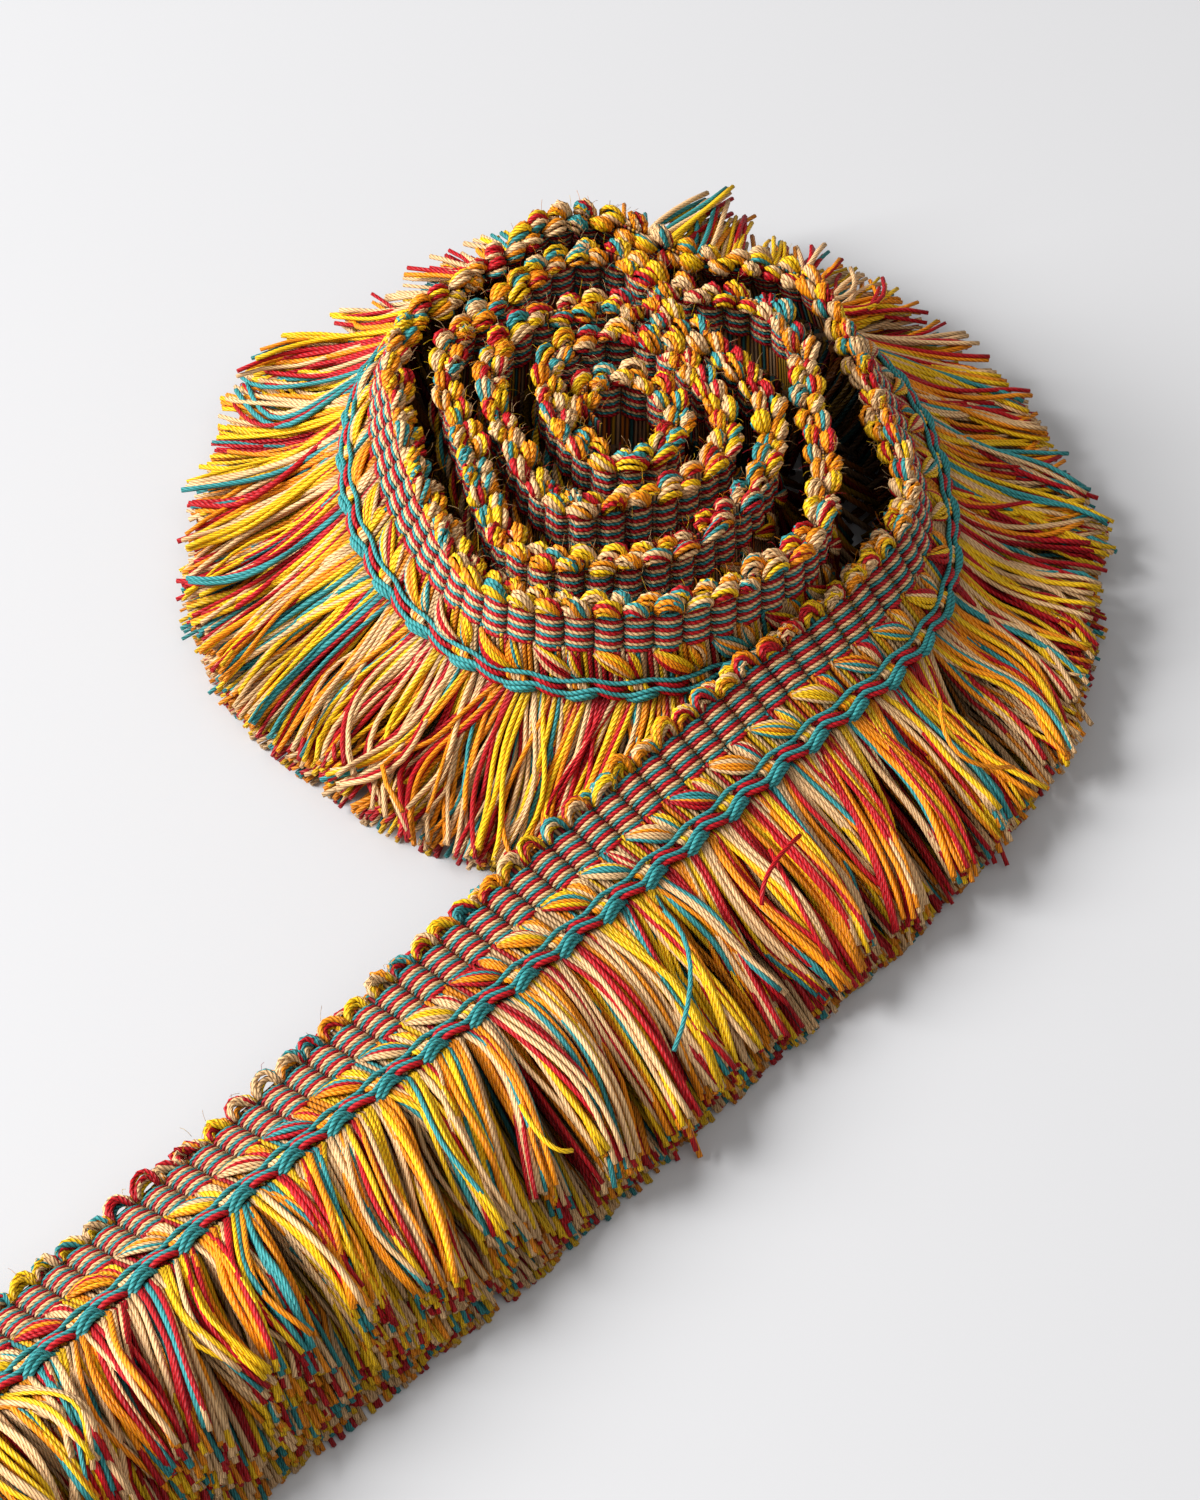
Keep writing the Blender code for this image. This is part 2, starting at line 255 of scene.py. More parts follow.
class Yarns:
    """Collects tubes of yarn that end up in one piece, with a material for each colour."""

    def __init__(self, name):
        self.name = name
        self.points, self.corners, self.counts = [], [], []
        self.coords, self.colours, self.caps, self.painted_shades_and_tones = [], [], [], []
        self.size = 0

    def lay(self, paths, radii, colours, up, sides=6, painted_shade_and_tone=1.0):
        """paths is strands x points x 3, radii and painted_shade_and_tone are one number or strands
        x points; painted_shade_and_tone is painted shading, with some random tone, that darkens the
        colour.
        """
        strands, length = paths.shape[:2]
        radii = np.broadcast_to(np.asarray(radii, float), (strands, length))
        up = np.broadcast_to(np.asarray(up, float), paths.shape)
        tangent = unit(np.gradient(paths, axis=1))
        side = unit(np.cross(tangent, up))
        lift = np.cross(side, tangent)
        angle = np.arange(sides) * 2 * np.pi / sides
        ring = (
            side[:, :, None] * np.cos(angle)[:, None]
            + lift[:, :, None] * np.sin(angle)[:, None]
        )
        points = paths[:, :, None] + ring * radii[:, :, None, None]
        first = self.size + np.arange(strands)[:, None, None] * length * sides
        near = first + np.arange(length - 1)[None, :, None] * sides + np.arange(sides)
        turned = first + np.arange(length - 1)[None, :, None] * sides
        turned = turned + (np.arange(sides) + 1) % sides
        quads = np.stack([near, turned, turned + sides, near + sides], axis=-1)
        runs = np.linalg.norm(np.diff(paths, axis=1), axis=2)
        along = np.concatenate([np.zeros((strands, 1)), np.cumsum(runs, axis=1)], axis=1)
        along = along + chance.uniform(0, 900, (strands, 1))
        u0 = np.broadcast_to(np.arange(sides) / sides, near.shape)
        u1 = u0 + 1.0 / sides
        v0 = np.broadcast_to(along[:, :-1, None], near.shape)
        v1 = np.broadcast_to(along[:, 1:, None], near.shape)
        coords = np.stack(
            [np.stack(pair, -1) for pair in ((u0, v0), (u1, v0), (u1, v1), (u0, v1))], -2
        )
        colours = np.asarray(colours)
        quad_colours = np.broadcast_to(colours[:, None, None], near.shape)
        painted_shade_and_tone = np.broadcast_to(np.asarray(painted_shade_and_tone, float), (strands, length))
        self.painted_shades_and_tones.append(np.repeat(painted_shade_and_tone.reshape(-1), sides))
        self.points.append(points.reshape(-1, 3))
        self.corners.append(quads.reshape(-1))
        self.counts.append(np.full(quads.size // 4, 4))
        self.coords.append(coords.reshape(-1, 2))
        self.colours.append(quad_colours.reshape(-1))
        self.caps.append(np.zeros(quads.size // 4, bool))
        start = first[:, 0] + np.arange(sides)[::-1]
        end = first[:, 0] + (length - 1) * sides + np.arange(sides)
        for cap, place in ((start, along[:, :1]), (end, along[:, -1:])):
            self.corners.append(cap.reshape(-1))
            self.counts.append(np.full(strands, sides))
            flat_u = 0.5 + 0.5 * np.cos(angle) * np.ones((strands, 1))
            flat_v = place + 0.5 * np.sin(angle)
            self.coords.append(np.stack([flat_u, flat_v], -1).reshape(-1, 2))
            self.colours.append(colours)
            self.caps.append(np.ones(strands, bool))
        self.size += points.size // 3

    def build(self, slot, nodes=()):
        mesh = bpy.data.meshes.new(self.name)
        points = np.concatenate(self.points) * MM
        corners = np.concatenate(self.corners)
        counts = np.concatenate(self.counts)
        mesh.vertices.add(len(points))
        mesh.vertices.foreach_set("co", points.astype(np.float32).ravel())
        mesh.loops.add(len(corners))
        mesh.loops.foreach_set("vertex_index", corners.astype(np.int32))
        mesh.polygons.add(len(counts))
        starts = np.concatenate([[0], np.cumsum(counts)[:-1]])
        mesh.polygons.foreach_set("loop_start", starts.astype(np.int32))
        mesh.update(calc_edges=True)
        layer = mesh.uv_layers.new(name="yarn")
        layer.uv.foreach_set("vector", np.concatenate(self.coords).astype(np.float32).ravel())
        # Painted shade, with some random tone, kept per point for the material to darken the colour
        tone = mesh.attributes.new("painted_shade_and_tone", "FLOAT", "POINT")
        tone.data.foreach_set("value", np.concatenate(self.painted_shades_and_tones).astype(np.float32))
        used = np.unique(np.concatenate(self.colours))
        for colour in used:
            mesh.materials.append(yarn_material(NAMES[colour], slot))
        places = np.searchsorted(used, np.concatenate(self.colours))
        mesh.polygons.foreach_set("material_index", places.astype(np.int32))
        mesh.polygons.foreach_set("use_smooth", ~np.concatenate(self.caps))
        mesh.validate()
        piece = bpy.data.objects.new(self.name, mesh)
        bpy.context.scene.collection.objects.link(piece)
        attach(piece, "root")
        if nodes:
            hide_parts(*nodes)
        return piece


def colour_runs(count, shares=FRINGE_SHARES, runs=FRINGE_RUNS):
    """A row of colours in which each keeps on for a few strands."""
    found = []
    weights = np.array(shares) / np.array(runs)
    weights = weights / weights.sum()
    while len(found) < count:
        colour = chance.choice(len(weights), p=weights)
        if found and found[-1] == colour:
            continue
        found.extend([colour] * max(int(round(chance.normal(runs[colour], 0.8))), 1))
    return np.array(found[:count])


# Materials


def add(nodes, kind, **values):
    node = nodes.new(kind)
    for name, value in values.items():
        setattr(node, name, value)
    return node


def math_node(tree, operation, first, second=None, third=None):
    node = add(tree.nodes, "ShaderNodeMath", operation=operation)
    for socket, value in zip(node.inputs, (first, second, third)):
        if value is None:
            continue
        if hasattr(value, "links"):
            tree.links.new(value, socket)
        else:
            socket.default_value = value
    return node.outputs[0]


def colour_mix(tree, share, first, second):
    node = add(tree.nodes, "ShaderNodeMix", data_type="RGBA", clamp_factor=True)
    sockets = [s for s in node.inputs if s.enabled]
    for socket, value in zip(sockets, (share, first, second)):
        if hasattr(value, "links"):
            tree.links.new(value, socket)
        else:
            socket.default_value = value
    return [s for s in node.outputs if s.enabled][0]


# Plies, length of a twist, how dark the painted shade in its grooves is, and how strong its relief
# is
TWISTS = {"heading_weave": (4, 2.5, 0.36, 0.95), "fringe_yarn": (6, 4.6, 0.46, 0.8)}
# Painted highlight: fibre noise lightens the yarn's colour up to this factor of its base
PAINTED_HIGHLIGHT = 1.6
# The yarn's own colour drifts between these two factors along each strand
DRIFT_FACTORS = (0.82, 1.08)
DRIFT_PER_MM = 0.13
FIBRES_PER_PLY = 2.5
FIBRE_PER_MM = 0.35
RELIEF_DEPTH = 0.0001
# Painted shade: what is left of the base colour where the painted shade is deepest, between the
# yarns where no light comes
DARKEST_PAINTED_SHADE = (0.05, 0.03, 0.03)
made_materials = {}


def shaded(colour, factor):
    return tuple(min(c * factor, 1.0) for c in colour) + (1.0,)


def yarn_material(name, slot):
    """Plied yarn: plies wind round each strand, with fine fibres, painted shading in its grooves,
    painted highlights along its fibres, and painted shading from the painted_shade_and_tone
    attribute.
    """
    label = f"{slot}_{name}"
    if label in made_materials:
        return made_materials[label]
    base = COLOURS[name]
    plies, pitch, groove_painted_shade, relief = TWISTS[slot]
    material = bpy.data.materials.new(label)
    material.use_nodes = True
    tree = material.node_tree
    shader = tree.nodes["Principled BSDF"]
    place = add(tree.nodes, "ShaderNodeUVMap", uv_map="yarn")
    split = add(tree.nodes, "ShaderNodeSeparateXYZ")
    tree.links.new(place.outputs[0], split.inputs[0])
    u, v = split.outputs[0], split.outputs[1]
    turn = math_node(tree, "MULTIPLY", u, plies)
    phase = math_node(tree, "MULTIPLY_ADD", v, plies / pitch, turn)
    wave = math_node(tree, "SINE", math_node(tree, "MULTIPLY", phase, math.pi))
    ply = math_node(tree, "ABSOLUTE", wave)
    # Fibres run along the plies
    fibre_place = add(tree.nodes, "ShaderNodeCombineXYZ")
    tree.links.new(math_node(tree, "MULTIPLY", phase, FIBRES_PER_PLY), fibre_place.inputs[0])
    tree.links.new(math_node(tree, "MULTIPLY", v, FIBRE_PER_MM), fibre_place.inputs[1])
    fibres = add(tree.nodes, "ShaderNodeTexNoise", noise_dimensions="2D")
    fibres.inputs["Scale"].default_value = 3.0
    fibres.inputs["Detail"].default_value = 2.0
    tree.links.new(fibre_place.outputs[0], fibres.inputs["Vector"])
    # Slow change of tone along a strand and from strand to strand
    drift = add(tree.nodes, "ShaderNodeTexNoise", noise_dimensions="1D")
    drift.inputs["Scale"].default_value = 1.0
    drift.inputs["Detail"].default_value = 1.0
    tree.links.new(math_node(tree, "MULTIPLY", v, DRIFT_PER_MM), drift.inputs["W"])
    drifted = math_node(tree, "MULTIPLY_ADD", drift.outputs[0], 1.6, -0.3)
    darker, paler = (shaded(base, factor) for factor in DRIFT_FACTORS)
    body = colour_mix(tree, drifted, darker, paler)
    # Painted highlight: where the fibre noise is high, the colour is lightened toward
    # PAINTED_HIGHLIGHT times the base
    fine = math_node(tree, "MULTIPLY_ADD", fibres.outputs[0], 2.4, -0.7)
    painted_glint = math_node(tree, "MULTIPLY", fine, 0.6)
    body = colour_mix(tree, painted_glint, body, shaded(base, PAINTED_HIGHLIGHT))
    depth = math_node(tree, "POWER", ply, 0.7)
    # Painted shade: the grooves between the plies are darkened toward groove_painted_shade times
    # the base
    painted_grooves = colour_mix(tree, depth, shaded(base, groove_painted_shade), body)
    # Painted shade: the painted_shade_and_tone attribute darkens the colour toward
    # painted_shade_colour
    tone = add(tree.nodes, "ShaderNodeAttribute", attribute_name="painted_shade_and_tone")
    painted_shade_colour = tuple(share * value for share, value in zip(DARKEST_PAINTED_SHADE, base)) + (1.0,)
    final = colour_mix(tree, tone.outputs["Fac"], painted_shade_colour, painted_grooves)
    tree.links.new(final, shader.inputs["Base Color"])
    height = math_node(tree, "MULTIPLY_ADD", fibres.outputs[0], 0.25, depth)
    bump = add(tree.nodes, "ShaderNodeBump")
    bump.inputs["Strength"].default_value = relief
    bump.inputs["Distance"].default_value = RELIEF_DEPTH
    tree.links.new(height, bump.inputs["Height"])
    tree.links.new(bump.outputs[0], shader.inputs["Normal"])
    rough = math_node(tree, "MULTIPLY_ADD", fibres.outputs[0], 0.25, 0.42)
    tree.links.new(rough, shader.inputs["Roughness"])
    shader.inputs["Specular IOR Level"].default_value = 0.26
    shader.inputs["Sheen Weight"].default_value = 0.05
    shader.inputs["Sheen Roughness"].default_value = 0.5
    shader.inputs["Sheen Tint"].default_value = shaded(base, 1.2)
    made_materials[label] = material
    return material


# Width of a weft, painted shade on its colour as a factor, colour of the painted shade in the gaps,
# and relief
WEFT_PITCH = 0.55
GROUND_PAINTED_SHADE = 0.6
WEFT_GAP_PAINTED_SHADE = (0.02, 0.008, 0.006, 1.0)
WEFT_DEPTH = 0.0003


def ground_material():
    """The weft under the floats: close yarns across the band in all the colours, darkened as
    painted shading, and near black in the gaps.
    """
    material = bpy.data.materials.new("weft_ground")
    material.use_nodes = True
    tree = material.node_tree
    shader = tree.nodes["Principled BSDF"]
    place = add(tree.nodes, "ShaderNodeUVMap", uv_map="band")
    split = add(tree.nodes, "ShaderNodeSeparateXYZ")
    tree.links.new(place.outputs[0], split.inputs[0])
    count = math_node(tree, "MULTIPLY", split.outputs[0], 1 / WEFT_PITCH)
    cell = math_node(tree, "FLOOR", count)
    pick = add(tree.nodes, "ShaderNodeTexWhiteNoise", noise_dimensions="1D")
    tree.links.new(cell, pick.inputs["W"])
    ramp = add(tree.nodes, "ShaderNodeValToRGB")
    ramp.color_ramp.interpolation = "CONSTANT"
    edge = 0.0
    for i, name in enumerate(NAMES):
        if i < 2:
            stop = ramp.color_ramp.elements[i]
            stop.position = edge
        else:
            stop = ramp.color_ramp.elements.new(edge)
        # Painted shade: each weft colour is darkened, as the wefts lie under the floats
        stop.color = shaded(COLOURS[name], GROUND_PAINTED_SHADE)
        edge += FRINGE_SHARES[i]
    tree.links.new(pick.outputs[0], ramp.inputs[0])
    inside = math_node(tree, "FRACT", count)
    round_off = math_node(tree, "SINE", math_node(tree, "MULTIPLY", inside, math.pi))
    # Painted shade: near black in the gaps between wefts
    body = colour_mix(tree, round_off, WEFT_GAP_PAINTED_SHADE, ramp.outputs[0])
    tree.links.new(body, shader.inputs["Base Color"])
    bump = add(tree.nodes, "ShaderNodeBump")
    bump.inputs["Strength"].default_value = 1.0
    bump.inputs["Distance"].default_value = WEFT_DEPTH
    tree.links.new(round_off, bump.inputs["Height"])
    tree.links.new(bump.outputs[0], shader.inputs["Normal"])
    shader.inputs["Roughness"].default_value = 0.85
    return material


# Ground cloth: one thin sheet that the floats lie on, from inside the picots to the chain


GROUND_EDGES = (1.5, 13.7)
# Half its thickness, points across it, and the step along it
GROUND_HALF = 0.12
GROUND_COLUMNS = 6
GROUND_STEP = 1.65


def make_ground():
    count = int(band.length / GROUND_STEP)
    s = np.linspace(0.05, band.length - FAR_END, count)
    w = np.linspace(*GROUND_EDGES, GROUND_COLUMNS)
    outline = [(x, GROUND_HALF) for x in w] + [(x, -GROUND_HALF) for x in w[::-1]]
    sides = len(outline)
    points = np.stack([band.at(s, x, d) for x, d in outline], axis=1).reshape(-1, 3)
    faces = [tuple(range(sides))[::-1], tuple(range((count - 1) * sides, count * sides))]
    coords = [(0.0, 0.0)] * (2 * sides)
    for i in range(count - 1):
        for j in range(sides):
            onward = (j + 1) % sides
            near, far = i * sides, (i + 1) * sides
            faces.append((near + j, near + onward, far + onward, far + j))
            here, there = outline[j][0], outline[onward][0]
            coords.extend([(s[i], here), (s[i], there), (s[i + 1], there), (s[i + 1], here)])
    mesh = bpy.data.meshes.new("ground_cloth")
    mesh.from_pydata((points * MM).tolist(), [], faces)
    mesh.uv_layers.new(name="band").uv.foreach_set("vector", np.array(coords).ravel())
    mesh.materials.append(ground_material())
    piece = bpy.data.objects.new("ground_cloth", mesh)
    bpy.context.scene.collection.objects.link(piece)
    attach(piece, "root")
    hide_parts("heading")
    return piece


# Warp ribs: each warp lies over one rib and under the next, and its neighbour the other way


# Warps side by side, where they start and end across the band, how far they rise off its
# middle layer, and how far a float slants across its rib
WARPS = 22
RIB_EDGES = (2.45, 7.7)
WARP_RISE = 0.68
FLOAT_TILT = 0.05
WARP_JITTER = 0.025
# How far the whole row wanders across the band, and how fast
WARP_WOBBLES = ((0.07, 0.9), (0.05, 0.37))
# The three warp colours, and each one's radius
WARP_COLOURS = ((TEAL, 0.245), (CRIMSON, 0.315), (CREAM, 0.305))
# Where the points of a warp lie on a rib, in shares of the rib
FINE_PLACES = (-0.5, -0.39, -0.14, 0.14, 0.39)
COARSE_PLACES = (-0.5, -0.2, 0.2)


def make_warps(name, first, last, places, sides):
    yarns = Yarns(name)
    ribs = np.arange(first, last)
    s = ((ribs[:, None] + np.array(places)) * RIB_PITCH).ravel()
    s = s[(s > 0.05) & (s < band.length - 0.4)]
    pitch = (RIB_EDGES[1] - RIB_EDGES[0]) / WARPS
    swing = np.cos(np.pi * s / RIB_PITCH)
    bulge = np.sign(swing) * np.abs(swing) ** 0.4
    wobble = sum(size * np.sin(s * rate) for size, rate in WARP_WOBBLES)
    paths, radii, colours, painted_shades_and_tones = [], [], [], []
    face = band.axes(s)[2]
    # Painted shade: darker where the warps go down into the creases between ribs; each warp also
    # gets a small random tone
    painted_shade_and_tone = 0.33 + 0.67 * np.abs(swing) ** 0.6
    for warp in range(WARPS):
        side = 1 if warp % 2 else -1
        tilt = side * FLOAT_TILT * np.sin(np.pi * s / RIB_PITCH)
        w = RIB_EDGES[0] + (warp + 0.5) * pitch + tilt + wobble
        w = w + chance.normal(0, WARP_JITTER, len(s))
        fall = 0.8 + 0.2 * math.sin(math.pi * (warp + 0.5) / WARPS)
        d = side * bulge * WARP_RISE * fall + chance.normal(0, WARP_JITTER, len(s))
        colour, thick = WARP_COLOURS[(warp // 2) % 3]
        paths.append(band.at(s, w, d))
        radii.append(thick * (0.5 + 0.5 * np.abs(swing) ** 0.5))
        colours.append(colour)
        painted_shades_and_tones.append(painted_shade_and_tone * chance.normal(1.0, 0.05))
    ups = np.broadcast_to(face, (WARPS,) + face.shape)
    yarns.lay(np.array(paths), np.array(radii), colours, ups, sides, np.array(painted_shades_and_tones))
    return yarns.build("heading_weave")


# Picot edge: two staggered rows of twisted loops, one on each face


LOOP_POINTS = 7
LOOP_ROOT = 2.9
# Loops on the free end stand open; round the rosette they are packed into fat knobs
OPEN_UNTIL = 118.0
PACKED_AFTER = 40.0
# For an open loop and a packed one: yarns, their radius, where the tip lies across the band,
# radius of the bundle, half its length in ribs, how far it stands off, and painted shade inside it
LOOP_YARNS = (7, 8)
LOOP_RADII = (0.33, 0.335)
LOOP_TIPS = (0.85, 1.25)
LOOP_BUNDLES = (0.56, 0.77)
LOOP_HALVES = (0.42, 0.37)
LOOP_FARS = (0.5, 0.72)
LOOP_PAINTED_SHADES = (0.3, 0.05)
BACK_TIP = 0.15
PICOT_SHARES = (0.32, 0.26, 0.22, 0.13, 0.07)
PICOT_RUNS = (1.3, 1.2, 1.2, 1.0, 0.7)


def make_picots(name, first, last, sides):
    yarns = Yarns(name)
    t = np.linspace(0.03, 0.97, LOOP_POINTS) * np.pi
    swell = np.sin(t) ** 0.5
    paths, colours, ups, radii, painted_shades_and_tones = [], [], [], [], []
    for rib in range(first, last):
        for face_side, shift in ((1, 0.0), (-1, 0.5)):
            middle = (rib + shift) * RIB_PITCH + chance.normal(0, 0.2)
            if not RIB_PITCH * 0.3 < middle < band.length - RIB_PITCH:
                continue
            packed = float(smooth((middle - OPEN_UNTIL) / PACKED_AFTER))
            count = LOOP_YARNS[packed > 0.4]
            size = chance.normal(1.0, 0.12)
            tip = mix(*LOOP_TIPS, packed) + (BACK_TIP if face_side < 0 else 0.0)
            tip = tip + chance.normal(0, 0.25)
            bundle = mix(*LOOP_BUNDLES, packed) * size
            half = mix(*LOOP_HALVES, packed) * RIB_PITCH * chance.normal(1.0, 0.08)
            start = chance.uniform(0, 2 * np.pi)
            turn = chance.normal(1.1, 0.8)
            lean = chance.normal(0, 0.5)
            far = mix(*LOOP_FARS, packed) + chance.normal(0, 0.22)
            for i in range(count):
                angle = start + i * 2 * np.pi / count + turn * (t - 1.5)
                angle = angle + chance.normal(0, 0.22)
                spread = bundle * chance.uniform(0.8, 1.12)
                rise = spread * np.cos(angle) * swell
                off = spread * np.sin(angle) * swell
                tilt = lean + chance.normal(0, 0.15)
                x = -np.cos(t) * (half + rise * 0.7) + tilt * np.sin(t)
                w = LOOP_ROOT - np.sin(t) ** 0.8 * (LOOP_ROOT - tip) - rise * np.sin(t)
                d = face_side * (0.25 + far * swell) + off
                s = band.within(middle + x)
                paths.append(band.at(s, w, d))
                ups.append(band.axes(s)[2])
                thick = mix(*LOOP_RADII, packed) * chance.normal(1.0, 0.12)
                radii.append(thick * (0.65 + 0.35 * swell))
                # Painted shade: yarns are darker toward the loop's ends, where they go into the
                # band, and on the inner side of an open loop, which lies in its shade; each also
                # gets a small random tone
                inner_painted_shade = 1.0 + mix(*LOOP_PAINTED_SHADES, packed) * np.minimum(rise / bundle, 0.0)
                painted_shades_and_tones.append((0.35 + 0.65 * swell) * inner_painted_shade * chance.normal(1.0, 0.06))
            colours.extend(colour_runs(count, PICOT_SHARES, PICOT_RUNS))
    yarns.lay(np.array(paths), np.array(radii), colours, np.array(ups), sides, np.array(painted_shades_and_tones))
    return yarns.build("heading_weave")


# Leaf floats between the ribs and the chain: a slanting leaf and a steep bundle in turn


# Where a leaf starts and ends across the band
LEAF_TOP = 7.6
LEAF_FOOT = 11.25
LEAF_POINTS = 6
WEFT_YARNS = 6
LEAF_RUNS = (1.5, 1.6, 1.5, 1.3, 0.7)
# From where to where along the band, yarns, spread, rise, height of its ends, and yarn radius
STEEP_BUNDLE = (-1.0, 0.4, 5, 1.6, 0.5, 0.5, 0.26)
SLANTING_LEAF = (-1.5, 2.9, 6, 1.8, 0.95, 0.6, 0.27)
# Wefts seen between the leaves: their slant, radius and painted shade
WEFT_SLANT = 0.5
WEFT_RADIUS = 0.28
WEFT_PAINTED_SHADE = 0.62


def make_leaves(name, first, last, sides, wefts):
    yarns = Yarns(name)
    t = np.linspace(0.0, 1.0, LEAF_POINTS)
    lens = np.sin(np.pi * t)
    paths, colours, ups, radii, painted_shades_and_tones = [], [], [], [], []

    def bundle(middle, first_end, last_end, count, spread, rise, low, radius):
        bow = chance.normal(0, 0.3)
        swirl = chance.normal(0.5, 0.5)
        for i in range(count):
            place = (i - (count - 1) / 2) / (count - 1) + chance.normal(0, 0.05)
            off = place * spread * (0.22 + 0.78 * lens)
            turned = off * np.cos(swirl * (t - 0.5)) + bow * lens
            s = middle + mix(first_end, last_end, t) + turned * 0.55
            w = mix(LEAF_TOP, LEAF_FOOT, t) - turned * 0.85
            d = low + rise * lens**0.8 * (1 - 1.3 * place**2) + off * np.sin(swirl * (t - 0.5))
            s = band.within(s)
            paths.append(band.at(s, w, d))
            ups.append(band.axes(s)[2])
            radii.append(radius * (0.75 + 0.25 * lens) * chance.normal(1.0, 0.06))
            # Painted shade: darker toward the leaf's ends, where it goes into the cloth; each yarn
            # also gets a small random tone
            painted_shades_and_tones.append((0.5 + 0.5 * lens**0.6) * chance.normal(1.0, 0.06))
        colours.extend(colour_runs(count, PICOT_SHARES, LEAF_RUNS))

    for rib in range(first, last):
        middle = rib * RIB_PITCH + chance.normal(0, 0.15)
        bundle(middle, *(STEEP_BUNDLE if rib % 2 else SLANTING_LEAF))
        for i in range(wefts):
            x = (rib - 0.5 + (i + 0.5) / wefts) * RIB_PITCH + chance.normal(0, 0.12)
            s = band.within(x + WEFT_SLANT * (t - 0.5))
            w = mix(LEAF_TOP - 0.5, FULL_WIDTH - 0.9, t)
            paths.append(band.at(s, w, 0.36 + 0.1 * lens))
            ups.append(band.axes(s)[2])
            radii.append(np.full(LEAF_POINTS, WEFT_RADIUS))
            painted_shades_and_tones.append(np.full(LEAF_POINTS, WEFT_PAINTED_SHADE))
        colours.extend(chance.choice(5, wefts, p=np.array(FRINGE_SHARES)))
    yarns.lay(np.array(paths), np.array(radii), colours, np.array(ups), sides, np.array(painted_shades_and_tones))
    return yarns.build("heading_weave")


# Chain: over every second rib a fat teal float, and between them crimson and teal side by side


# Length of one repeat, and points in it
CHAIN_REPEAT = 2 * RIB_PITCH
CHAIN_STEPS = 12
# Colour, place across at the crimson and at the teal phase, height at each, and radius
CHAIN_YARNS = (
    (TEAL, 11.35, 11.15, 1.0, 1.1, 0.28),
    (CRIMSON, 11.9, 12.2, 1.2, 0.15, 0.31),
    (TEAL, 12.45, 12.7, 1.3, 1.3, 0.3),
    (CRIMSON, 13.0, 13.0, 1.25, 0.1, 0.32),
    (TEAL, 13.3, 13.25, 0.1, 1.5, 0.33),
    (TEAL, 13.45, 13.75, -0.1, 1.15, 0.32),
)
CHAIN_SLANT = 0.4
# Short slanting stitches between the cords: their starts along the band, and their radius
STITCH_STARTS = (-1.15, -0.6, -0.05, 0.5)
STITCH_RADIUS = 0.31


def make_chain(name, first, last):
    yarns = Yarns(name)
    step = CHAIN_REPEAT / CHAIN_STEPS
    s = np.arange(max(first * RIB_PITCH, 0.1), min(last * RIB_PITCH, band.length - 0.4), step)
    turn = 2 * np.pi * s / CHAIN_REPEAT
    face = band.axes(s)[2]
    paths, radii, colours, painted_shades_and_tones = [], [], [], []
    for i, (colour, red_w, teal_w, red_d, teal_d, thick) in enumerate(CHAIN_YARNS):
        wave = np.cos(turn - 0.12 * i)
        phase = 0.5 - 0.5 * np.sign(wave) * np.abs(wave) ** 0.55
        slant = CHAIN_SLANT * np.sin(turn)
        w = mix(red_w, teal_w, phase) + slant * (0.5 if i == 0 else 1.0)
        depth = mix(red_d, teal_d, phase) + 0.12 * np.abs(wave)
        paths.append(band.at(s, w, depth))
        # Painted shade: the deeper a yarn lies in the chain, the darker
        painted_shades_and_tones.append(np.clip(0.35 + 0.6 * depth, 0.2, 1.0))
        radii.append(np.full(len(s), thick))
        colours.append(colour)
    ups = np.broadcast_to(face, (len(paths),) + face.shape)
    yarns.lay(np.array(paths), np.array(radii), colours, ups, 6, np.array(painted_shades_and_tones))
    t = np.linspace(0.0, 1.0, 5)
    lens = np.sin(np.pi * t)
    bits, bit_ups, bit_colours = [], [], []
    for middle in np.arange(first + 1 - first % 2, last, 2) * RIB_PITCH:
        for x in STITCH_STARTS:
            places = band.within(middle + x + 0.7 * t)
            bits.append(band.at(places, mix(11.3, 12.75, t), 0.4 + 0.75 * lens))
            bit_ups.append(band.axes(places)[2])
            bit_colours.append(chance.choice((CREAM, CREAM, CREAM, ORANGE, YELLOW)))
    yarns.lay(np.array(bits), STITCH_RADIUS, bit_colours, np.array(bit_ups), 5)
    return yarns.build("heading_weave")


# Cut fringe: layers of strands from the chain, in clumps that lean and part at their tips


# Radius of a strand, and how far apart the strands of a layer are
STRAND = 0.298
STRAND_SPACING = 0.485
# Lowest middle line of a strand that lies on the floor
LYING = 1.25 * STRAND
# Narrowest and widest tufts, and the locks that part them
TUFT_WIDTHS = (2.8, 7.2)
LOCK_WIDTHS = (1.0, 2.6)
# For the free end and for the roll: how far tufts draw together, how far tufts and locks lean,
# height of the tips, how steeply they arrive, and how much the strands wander
SQUEEZES = (0.56, 0.77)
TUFT_LEANS = (2.5, 2.4)
LOCK_LEANS = (0.7, 1.5)
TIP_HEIGHTS = (3.6, 4.2)
TIP_SLOPES = (-13.0, -4.5)
WANDERS = (0.28, 0.34)
PILES = (1.0, 0.6)
# Over this length the fringe changes from the free end's to the roll's
ROLL_BLEND = 24.0
# Height of the tips where the brush is thick
BRUSH_TOP = 8.6
# Painted shade of the deepest strands, at their roots and at their cut ends
DEEP_PAINTED_SHADES = (0.25, 0.6)
# Painted shade on the two points inside the chain, and on the cut end
ROOT_PAINTED_SHADES = (0.3, 0.55)
END_PAINTED_SHADE = 0.8


def clumps(start, stop, widths):
    """Edges of clumps along the band, and five random numbers for each clump."""
    edges = [start - chance.uniform(0.5, widths[1])]
    while edges[-1] < stop + 1.0:
        edges.append(edges[-1] + chance.uniform(*widths))
    return np.array(edges), chance.normal(0, 1, (5, len(edges)))


def clumped(s, edges, shared):
    """For each strand, its clump's middle, its place in the clump (-1 to 1) and shared numbers."""
    own = np.clip(np.searchsorted(edges, s) - 1, 0, len(edges) - 2)
    middles = (edges[1:] + edges[:-1]) / 2
    halves = (edges[1:] - edges[:-1]) / 2
    return middles[own], (s - middles[own]) / halves[own], shared[:, own]


